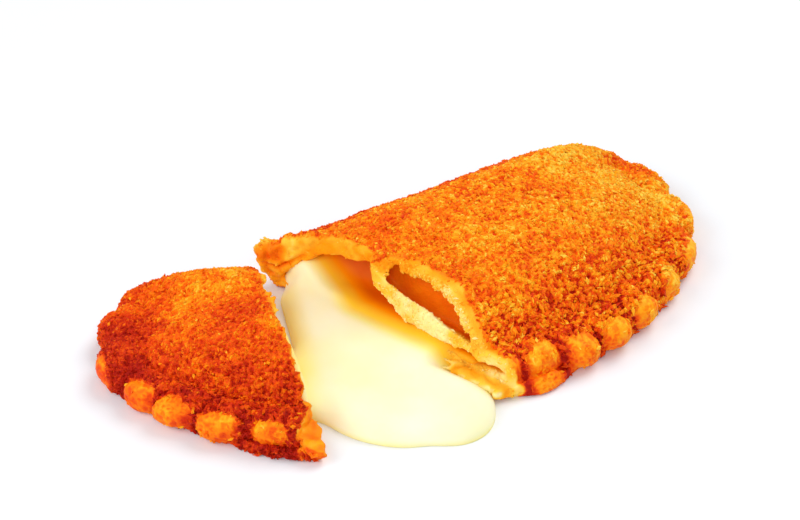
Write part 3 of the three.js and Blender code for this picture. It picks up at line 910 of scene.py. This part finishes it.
# Colours for tones from 0 to 1, evenly spaced
CRUST_COLOURS = from_screen(
    (172, 20, 0), (214, 48, 0), (240, 84, 0), (254, 130, 0), (255, 174, 20), (255, 210, 74)
)
DOUGH_COLOURS = from_screen(
    (232, 92, 0), (246, 124, 0), (255, 160, 10), (255, 200, 60), (255, 238, 165)
)
# Only painted shade and painted reflection take the cheese down to its lower, more orange stops
CHEESE_COLOURS = from_screen(
    (226, 106, 0), (255, 160, 0), (255, 206, 50), (255, 240, 150), (255, 251, 216)
)
FLOOR_COLOURS = ((0.855, 0.885, 0.92, 1), (0.865, 0.895, 0.93, 1))
# Scales of the noise in the materials, and what the crust's noise adds to its tone. That noise is
# also the crust's bump height: the curl share paints a highlight on the raised crumb ridges, and
# the fine share is grain that paints a faint highlight on raised bumps too
FINE_SCALE = 1500.0
FINE_TONE = 0.24
CURL_SCALE = 720.0
CURL_SHARPNESS = 9.0
CURL_HIGHLIGHT = 0.16
PATCH_SCALE = 140.0
PATCH_TONE = 0.3
SKIN_DARKER = 0.18
CHEESE_SCALE = 60.0
FLOOR_SCALE = 30.0
CRUST_BUMP = {"Strength": 0.8, "Distance": 0.0009}
CRUST_SHINE = {
    "Specular IOR Level": 0.12,
    "Subsurface Weight": 0.1,
    "Subsurface Radius": (1.0, 0.35, 0.1),
    "Subsurface Scale": 0.0012,
}
CHEESE_SHINE = {
    "Roughness": 0.45,
    "Specular IOR Level": 0.1,
    "Subsurface Weight": 0.35,
    "Subsurface Radius": (1.0, 0.8, 0.4),
    "Subsurface Scale": 0.0025,
}
FLOOR_SHINE = {"Roughness": 0.9, "Specular IOR Level": 0.1}


def new_material(name):
    material = bpy.data.materials.new(name)
    material.use_nodes = True
    tree = material.node_tree
    tree.nodes.clear()
    out = tree.nodes.new("ShaderNodeOutputMaterial")
    shader = tree.nodes.new("ShaderNodeBsdfPrincipled")
    tree.links.new(shader.outputs[0], out.inputs[0])
    return material, tree, shader


def fill(tree, node, inputs):
    """Sets each input of a node to a value, or links it to another node's output."""
    for name, value in inputs.items():
        if isinstance(value, bpy.types.NodeSocket):
            tree.links.new(value, node.inputs[name])
        else:
            node.inputs[name].default_value = value


def add(tree, kind, inputs, **settings):
    node = tree.nodes.new(kind)
    for key, value in settings.items():
        setattr(node, key, value)
    fill(tree, node, inputs)
    return node


def attribute(tree, name):
    return add(tree, "ShaderNodeAttribute", {}, attribute_name=name).outputs["Fac"]


def texture(tree, scale, **inputs):
    """Noise texture in the object's own frame."""
    where = tree.nodes.new("ShaderNodeTexCoord").outputs["Object"]
    inputs = {"Vector": where, "Scale": scale, **inputs}
    return add(tree, "ShaderNodeTexNoise", inputs).outputs["Fac"]


def ramp(tree, factor, colours):
    node = tree.nodes.new("ShaderNodeValToRGB")
    tree.links.new(factor, node.inputs[0])
    elements = node.color_ramp.elements
    while len(elements) < len(colours):
        elements.new(0.5)
    for k, colour in enumerate(colours):
        elements[k].position = k / (len(colours) - 1)
        elements[k].color = colour
    return node.outputs[0]


def math_node(tree, operation, *values, clamp=False):
    settings = dict(operation=operation, use_clamp=clamp)
    return add(tree, "ShaderNodeMath", dict(enumerate(values)), **settings).outputs[0]


def crust_material(name):
    """Fried breadcrumbs outside, soft dough inside, by the mesh's own tone and inner values. The
    tone holds painted shade and highlight too, and the raised crumb ridges get a painted highlight
    here.
    """
    material, tree, shader = new_material(name)
    tone = attribute(tree, "tone")
    fine = texture(tree, FINE_SCALE, Detail=2.0)
    curl = texture(tree, CURL_SCALE, Detail=0.0, Distortion=0.8)
    curl = math_node(tree, "ABSOLUTE", math_node(tree, "SUBTRACT", curl, 0.5))
    curl = math_node(tree, "MULTIPLY", curl, CURL_SHARPNESS)
    curl = math_node(tree, "SUBTRACT", 1.0, curl, clamp=True)
    curl = math_node(tree, "MULTIPLY", curl, attribute(tree, "crumbly"))
    fine_skin = math_node(tree, "MULTIPLY", fine, FINE_TONE)
    # Painted highlight: the ridges and fine grain that raise the bump also lighten the tone
    relief_and_highlight = math_node(tree, "MULTIPLY_ADD", curl, CURL_HIGHLIGHT, fine_skin)
    patch = texture(tree, PATCH_SCALE, Detail=2.0)
    drift = math_node(tree, "MULTIPLY_ADD", patch, PATCH_TONE, -PATCH_TONE / 2)
    shade = math_node(tree, "ADD", tone, math_node(tree, "SUBTRACT", relief_and_highlight, SKIN_DARKER))
    outside = ramp(tree, math_node(tree, "ADD", shade, drift, clamp=True), CRUST_COLOURS)
    dough = ramp(tree, math_node(tree, "ADD", tone, drift), DOUGH_COLOURS)
    sides = {"Factor": attribute(tree, "inner"), 6: outside, 7: dough}
    colour = add(tree, "ShaderNodeMix", sides, data_type="RGBA").outputs[2]
    rough = add(tree, "ShaderNodeMapRange", {"Value": fine, "To Min": 0.42, "To Max": 0.72})
    relief = add(tree, "ShaderNodeBump", {"Height": relief_and_highlight, **CRUST_BUMP})
    linked = {"Base Color": colour, "Roughness": rough.outputs[0], "Normal": relief.outputs[0]}
    fill(tree, shader, {**linked, **CRUST_SHINE})
    return material


def cheese_material():
    """Melted cheese, pale in the pool, by the mesh's own tone, which paints shade and the crust's
    orange reflection on it in the hollow, and shade at its edges.
    """
    material, tree, shader = new_material("melted_cheese")
    patch = texture(tree, CHEESE_SCALE, Detail=2.0)
    drift = math_node(tree, "MULTIPLY_ADD", patch, 0.26, -0.14)
    shade = math_node(tree, "ADD", attribute(tree, "tone"), drift, clamp=True)
    fill(tree, shader, {"Base Color": ramp(tree, shade, CHEESE_COLOURS), **CHEESE_SHINE})
    return material


def floor_material():
    material, tree, shader = new_material("white_surface")
    colour = ramp(tree, texture(tree, FLOOR_SCALE), FLOOR_COLOURS)
    fill(tree, shader, {"Base Color": colour, **FLOOR_SHINE})
    return material


# An octahedron is the start shape of each crumb
CHIP = np.array([(1, 0, 0), (-1, 0, 0), (0, 1, 0), (0, -1, 0), (0, 0, 1), (0, 0, -1)], float)
CHIP_FACES = np.array(
    [(0, 2, 4), (2, 1, 4), (1, 3, 4), (3, 0, 4), (2, 0, 5), (1, 2, 5), (3, 1, 5), (0, 3, 5)]
)


def scatter(points, faces, weight, tone, coarse, kind):
    """Loose crumbs on a mesh, each a small uneven solid sunk partly in, spread by weight."""
    count = kind["count"]
    a, b, c, d = (points[faces[:, k]] for k in range(4))
    area = np.linalg.norm(np.cross(c - a, d - b), axis=1)
    chance = area * weight[faces].mean(1)
    chance = chance / chance.sum()
    n = normals(points, faces)
    pick = rng.choice(len(faces), count, p=chance)
    w = rng.dirichlet((1, 1, 1, 1), count)
    at = np.einsum("nk,nkm->nm", w, points[faces[pick]])
    up = np.einsum("nk,nkm->nm", w, n[faces[pick]])
    base_tone = (w * tone[faces[pick]]).sum(1)
    size = kind["low"] + (kind["high"] - kind["low"]) * rng.random(count) ** SMALL_ONES
    size = size * (1 + FRONT_COARSE * coarse[faces[pick, 0]])
    long_way = rng.normal(size=(count, 3))
    long_way -= up * (long_way * up).sum(1, keepdims=True)
    long_way /= np.linalg.norm(long_way, axis=1, keepdims=True)
    axes = np.stack([long_way, np.cross(up, long_way), up], 1)
    stretch = rng.uniform(STRETCH_LOW, STRETCH_HIGH, (count, 3))[:, None]
    jitter = 1 + rng.uniform(-CORNER_JITTER, CORNER_JITTER, (count, len(CHIP), 1))
    local = CHIP[None] * stretch * jitter * size[:, None, None]
    local = np.einsum("nki,nij->nkj", local, axes)
    centre = at + up * (size * rng.uniform(SUNK, RAISED, count))[:, None]
    verts = (centre[:, None] + local).reshape(-1, 3)
    verts[:, 2] = np.maximum(verts[:, 2], 0.0)
    all_faces = (CHIP_FACES[None] + (np.arange(count) * len(CHIP))[:, None, None]).reshape(-1, 3)
    pale = PALE_TONE * (rng.random(count) < kind["pale"])
    tones = base_tone + rng.normal(0, CRUMB_TONE_VARIES, count) + CRUMB_TONE + pale
    return verts, all_faces, np.repeat(tones, len(CHIP))


# Tones: 0 is darkest, 1 palest. Each value is the base or what its place adds or takes away
# Painted highlight on crumb tops and painted shade in their gaps: crumb height for a full step, and
# more of it on the front
RELIEF_SHADE_HEIGHT = 0.3
FRONT_RELIEF_SHADE = 0.1
# Painted shade on the front slope, which faces away from the light
FRONT_SHADE = 0.34
BELOW_FOLD_DARK = 0.12
FOLD_EDGE_V = (5.2, 2.4)
FOLD_EDGE_DARK = 0.3
FAR_END_U = (54.5, 3.5)
FAR_END_V = (14.0, 5.5)
FAR_END_DARK = 0.24
GRAIN_VARIES = 0.1
SKIN_PATCHES = ((0.1, 8.0, 51), (0.1, 3.2, 52))
# Painted shade in the grooves between teeth
GROOVE_SHADE = 0.26
# Painted shade in the torn corner's creases and painted highlight on its raised folds
FOLDS_SHADING = 0.2
LARGE_FAR_PALE = 0.17
LARGE_CUT_DARK = 0.06
# Less painted relief shade and highlight near the cut
LARGE_CUT_RELIEF_SHADE = 0.09
# Painted light on the small piece's top at the back, and painted shade towards its front and on its
# left end
SMALL_BACK_LIGHT = 0.17
SMALL_MIDDLE_SHADE = 0.05
SMALL_FRONT_SHADE = 0.04
SMALL_END_SHADE = 0.24
TOOTH_TONE = 0.62
# Painted highlight and shade on the teeth's relief
TOOTH_RELIEF_SHADE = 0.3
TOOTH_LEAN = 0.5
# Painted shade at the teeth's sides and low down, painted light on their tops
TOOTH_SIDE_SHADE = 0.3
TOOTH_TOP_LIGHT = 0.12
TOOTH_PATCHES = ((0.12, 3.0, 61), (0.1, 1.3, 62))
DOUGH_TONE = 0.52
DOUGH_PATCHES = ((0.12, 2.0, 77),)
# Painted shade in the corner's creases and painted highlight on its folds, on the dough
DOUGH_FOLDS_SHADING = 0.3
RED_FLAP_DARK = 0.4
# Painted shade deep in the hollow, and painted light in the shaded air pocket above the sheet
HOLLOW_SHADE = 0.3
AIR_POCKET_LIGHT = 0.12
CUT_PALE = (0.08, 0.16)
# The hanging sheet's own pale dough, made paler still by painted light where it lies in shade
HANGING_PALE_AND_LIT = 0.26
SHREDS_PALE = 0.35
# Painted highlight along the torn lip
LIP_HIGHLIGHT = 0.5
SMALL_DOUGH_TONE = 0.58
SMALL_DOUGH_PATCHES = ((0.2, 2.0, 78), (0.15, 0.9, 79))
SMALL_DOUGH_DARK = 0.1
CHEESE_TONE = 0.98
# Painted shade, with the crust's painted orange reflection, deep in the hollow
CHEESE_HOLLOW_SHADE = 0.5
# Painted shade at the pool's rounded edge, next to the small piece and where it meets the floor
CHEESE_EDGE_SHADE = 0.2
CHEESE_SMALL_SHADE = 0.14
CHEESE_LOW_SHADE = 0.16
CHEESE_PATCHES = ((0.03, 6.0, 19),)


def tooth_tone(d, points, lean):
    """Tone of the teeth where they have no crumbs: painted light on top and on their raised relief,
    painted shade in its dips, at their sides between them and low down.
    """
    z = points[:, 2]
    tone = TOOTH_TONE + TOOTH_LEAN * lean + layers(points, TOOTH_PATCHES)
    tone = tone + TOOTH_RELIEF_SHADE * d["height"] - TOOTH_SIDE_SHADE * rises(d["across"], 0.45, 0.5)
    return tone + TOOTH_TOP_LIGHT * (rises(z, 3.5, 4) - falls(z, 2, 2))


def skin_tone(d, points, piece, lean, less_relief_shade):
    """Tone of the browned skin: painted highlight on high crumbs and painted shade between them,
    painted shade on the front, in the grooves and in the creases, and darker along the fold.
    """
    u, v, z = points.T
    relief_shade = piece["relief_shade"] - less_relief_shade + FRONT_RELIEF_SHADE * d["front"]
    tone = piece["tone"] + lean + relief_shade * d["height"] / RELIEF_SHADE_HEIGHT * d["crumbly"]
    tone = tone + GRAIN_VARIES * (d["name"] - 0.5) + layers(points, SKIN_PATCHES)
    below_fold = falls(v, 3, 3) * falls(z, 9, 5)
    fold_edge = bump(v, *FOLD_EDGE_V) * rises(z, 7, 3) * rises(u, -34, 4) * falls(u, 42, 20)
    far_end = bump(u, *FAR_END_U) * bump(v, *FAR_END_V)
    tone = tone - FRONT_SHADE * d["front"] - BELOW_FOLD_DARK * below_fold
    tone = tone - FOLD_EDGE_DARK * fold_edge - FAR_END_DARK * far_end
    tone = mix(tone, tooth_tone(d, points, lean), d["bead"])
    return tone - GROOVE_SHADE * d["groove"] + FOLDS_SHADING * d["folds"]


def paint(d, points, piece, lean, dough_tone, less_relief_shade=0.0):
    """The values that a dressed piece's material reads."""
    tone = skin_tone(d, points, piece, lean, less_relief_shade)
    inner = 1 - d["on_skin"]
    red_flap = d["corner"] * rises(points[:, 2], 7.5, 1.5) * falls(points[:, 1], 6, 3)
    dough = dough_tone + DOUGH_FOLDS_SHADING * d["folds"] - RED_FLAP_DARK * red_flap
    return {"tone": mix(tone, dough, inner), "inner": inner, "crumbly": d["crumbly"]}


def large_dough_tone(points, cut_distance, hanging):
    """Tone of the large piece's dough: painted shade deep in, painted light in the air pocket above
    the sheet, pale on the sheet with painted light where it lies in shade, pale shreds, and a
    painted highlight on the lip.
    """
    v, z = points[:, 1], points[:, 2]
    above_sheet = rises(z, np.interp(v, SHEET_V, SHEET_OVER), 1.5) * rises(v, 22, 3)
    deep = mix(HOLLOW_SHADE, -AIR_POCKET_LIGHT, above_sheet) * rises(cut_distance, 0.8, 4)
    at_cut = CUT_PALE[0] * rises(v, 26, 8) + CUT_PALE[1] * rises(v, 34, 6)
    shreds = falls(v, 48.5, 1.5) * falls(cut_distance, -0.8, 1) * rises(v, 43, 2)
    lip = bump(z, 2.2, 0.9) * falls(cut_distance, -2.2, 1.2) * rises(v, 48, 3)
    tone = DOUGH_TONE - deep + at_cut * falls(np.abs(cut_distance), 2.0, 1.5)
    tone = tone + HANGING_PALE_AND_LIT * hanging * rises(v, 22, 4) * falls(v, 46, 4)
    return tone + SHREDS_PALE * shreds + LIP_HIGHLIGHT * lip + layers(points, DOUGH_PATCHES)


def small_dough_tone(points):
    tone = SMALL_DOUGH_TONE + layers(points, SMALL_DOUGH_PATCHES)
    return tone - SMALL_DOUGH_DARK * rises(points[:, 1], 34, 5)


def cheese_tone(points):
    """Tone of the cheese: painted shade and the crust's painted orange reflection towards the hollow,
    and painted shade, a little yellower, at its edges, next to the small piece and along the floor.
    """
    u, v, z = points.T
    inward = u - cut_line(v) + mix(1.0, 6.0, rises(v, 12, 12))
    edge = band(u, v, POOL_BACK, POOL_FRONT)
    near_edge = rises(edge, -5, 5) * rises(cut_line(v) - u, 1, 4) * falls(v, 48, 14)
    su, sv = small_frame(u, v)
    near_small = falls(su - small_cut_line(sv), 3.5, 4)
    tone = CHEESE_TONE - CHEESE_HOLLOW_SHADE * (rises(inward, 0, 5.5) + rises(inward, 4.5, 6))
    tone = tone - CHEESE_EDGE_SHADE * near_edge - CHEESE_SMALL_SHADE * near_small
    return tone - CHEESE_LOW_SHADE * falls(z, 1.4, 1.4) + layers(points, CHEESE_PATCHES)


def crumb_weight(d):
    """How thickly loose crumbs lie: on the skin, few on bare teeth, below and in the grooves."""
    return d["on_skin"] * (1 - 0.96 * d["bead"]) * (1 - 0.6 * d["under"]) * (1 - 0.5 * d["groove"])


def make_crumbs(name, verts, faces, tones, inner, crumbly):
    values = {
        "tone": tones,
        "inner": np.full_like(tones, inner),
        "crumbly": np.full_like(tones, crumbly),
    }
    return make_object(name, verts, faces, values, crust, False)


def make_large():
    """The large piece's skin with its dough, its loose crumbs, and the flakes along its cut."""
    points, faces = build_large()
    u, v, z = points.T
    cut_distance = cut_field(u, v, z)
    near_cut = falls(cut_distance, 18, 12) * rises(v, 8, 6) * falls(v, 46, 8)
    lean = LARGE_FAR_PALE * rises(u, 10, 40) - LARGE_CUT_DARK * near_cut
    hanging = smooth(1 - sheet_field(u, v, z) / 1.2) * falls(cut_distance, 2.4, 1.4)
    dough_tone = large_dough_tone(points, cut_distance, hanging)
    moved, d = dress(points, faces, LARGE, cut_distance)
    values = paint(d, points, LARGE, lean, dough_tone, LARGE_CUT_RELIEF_SHADE * near_cut)
    skin = make_object("crust_large", moved, faces, values, crust)
    tone = values["tone"]
    verts, tris, tones = scatter(moved, faces, crumb_weight(d), tone, d["front"], CRUMBS_LARGE)
    loose = make_crumbs("crumbs_large", verts, tris, tones, 0, 1)
    at_cut = falls(np.abs(cut_distance), 1.6, 1.2) * (0.06 + rises(v, 24, 6))
    on_lip = rises(v, 43, 3) * falls(z, 7, 2)
    weight = values["inner"] * at_cut * (1 - 0.7 * hanging) * (1 - 0.9 * on_lip)
    verts, tris, tones = scatter(moved, faces, weight, tone, np.zeros_like(tone), FLAKES_CUT)
    return skin, loose, make_crumbs("flakes_cut", verts, tris, tones, 1, 0)


def make_small():
    """The small piece's skin with its dough, and its loose crumbs."""
    points, faces = build_small()
    u, v, z = points.T
    # Painted light on the top at the back, and painted shade towards the front and on the left end
    lean = SMALL_BACK_LIGHT * falls(v, 22, 14) - SMALL_MIDDLE_SHADE * rises(v, 12, 10)
    lean = lean - SMALL_FRONT_SHADE * rises(v, 24, 14)
    lean = lean - SMALL_END_SHADE * falls(u, -44, 8)
    moved, d = dress(points, faces, SMALL, small_cut(u, v, z))
    values = paint(d, points, SMALL, lean, small_dough_tone(points))
    skin = make_object("crust_small", place_small(moved), faces, values, crust)
    tone = values["tone"]
    verts, tris, tones = scatter(moved, faces, crumb_weight(d), tone, d["front"], CRUMBS_SMALL)
    return skin, make_crumbs("crumbs_small", place_small(verts), tris, tones, 0, 1)


rng = np.random.default_rng(7)
LARGE["table"] = arc_table(LARGE)
SMALL["table"] = arc_table(SMALL)
crust = crust_material("fried_crust")
melted = cheese_material()

for piece in make_large():
    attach(piece, "root")
    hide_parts("pastry_large")

for piece in make_small():
    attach(piece, "root")
    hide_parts("pastry_small")

cheese_points, cheese_faces = build_cheese()
cheese_values = {"tone": cheese_tone(cheese_points)}
cheese = make_object("cheese_melt", cheese_points, cheese_faces, cheese_values, melted)
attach(cheese, "root")
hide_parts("cheese")

# Plain pale floor, just under the part
FLOOR_HALF = 6.0
FLOOR_DROP = 0.00002
floor_mesh = bpy.data.meshes.new("floor")
floor_mesh.from_pydata(
    [(x * FLOOR_HALF, y * FLOOR_HALF, 0) for x, y in ((-1, -1), (1, -1), (1, 1), (-1, 1))],
    [],
    [(0, 1, 2, 3)],
)
floor_mesh.materials.append(floor_material())
floor = bpy.data.objects.new("floor", floor_mesh)
floor.location.z = -FLOOR_DROP
scene.collection.objects.link(floor)

# Soft studio lights, in metres: name, place, width, power and colour
LIGHT_TARGET = (0.0, 0.0, 0.005)
LIGHTS = (
    ("key", (0.46, 0.06, 0.66), 0.6, 3.4, (1.0, 0.985, 0.96)),
    ("fill", (-0.45, -0.6, 0.5), 0.7, 2.5, (1.0, 0.99, 0.98)),
    ("side", (-0.62, 0.14, 0.44), 0.6, 2.5, (1.0, 0.99, 0.97)),
)
SKY_COLOUR = (0.93, 0.95, 0.98, 1)
SKY_STRENGTH = 0.5


def aim(obj, place, direction):
    """Puts a light or a camera at a place, facing in a direction."""
    obj.location = place
    obj.rotation_euler = direction.to_track_quat("-Z", "Y").to_euler()
    scene.collection.objects.link(obj)


for name, place, width, power, light_colour in LIGHTS:
    light = bpy.data.lights.new(name, "AREA")
    light.shape = "DISK"
    light.size = width
    light.energy = power
    light.color = light_colour
    aim(bpy.data.objects.new(name, light), place, Vector(LIGHT_TARGET) - Vector(place))

world = bpy.data.worlds.new("studio")
world.use_nodes = True
sky = world.node_tree.nodes["Background"]
sky.inputs[0].default_value = SKY_COLOUR
sky.inputs[1].default_value = SKY_STRENGTH
scene.world = world
scene.view_settings.view_transform = "Standard"
scene.view_settings.look = "None"

# The photo's camera. It looks at a place on the floor given as u and v
ELEVATION = math.radians(36)
AZIMUTH = math.radians(-31)
DISTANCE = 0.48
LOOKS_AT = (-3.16, 7.2)
SENSOR_WIDTH = 36.0
LENS = 99.36
CLIP_START = 0.01
target = Vector(((LOOKS_AT[0] - ORIGIN_U) * MM, (ORIGIN_V - LOOKS_AT[1]) * MM, 0.0))
level = math.cos(ELEVATION)
to_camera = Vector((math.sin(AZIMUTH) * level, -math.cos(AZIMUTH) * level, math.sin(ELEVATION)))
camera_data = bpy.data.cameras.new("camera")
camera_data.sensor_width = SENSOR_WIDTH
camera_data.lens = LENS
camera_data.clip_start = CLIP_START
camera = bpy.data.objects.new("camera", camera_data)
aim(camera, target + to_camera * DISTANCE, -to_camera)
scene.camera = camera
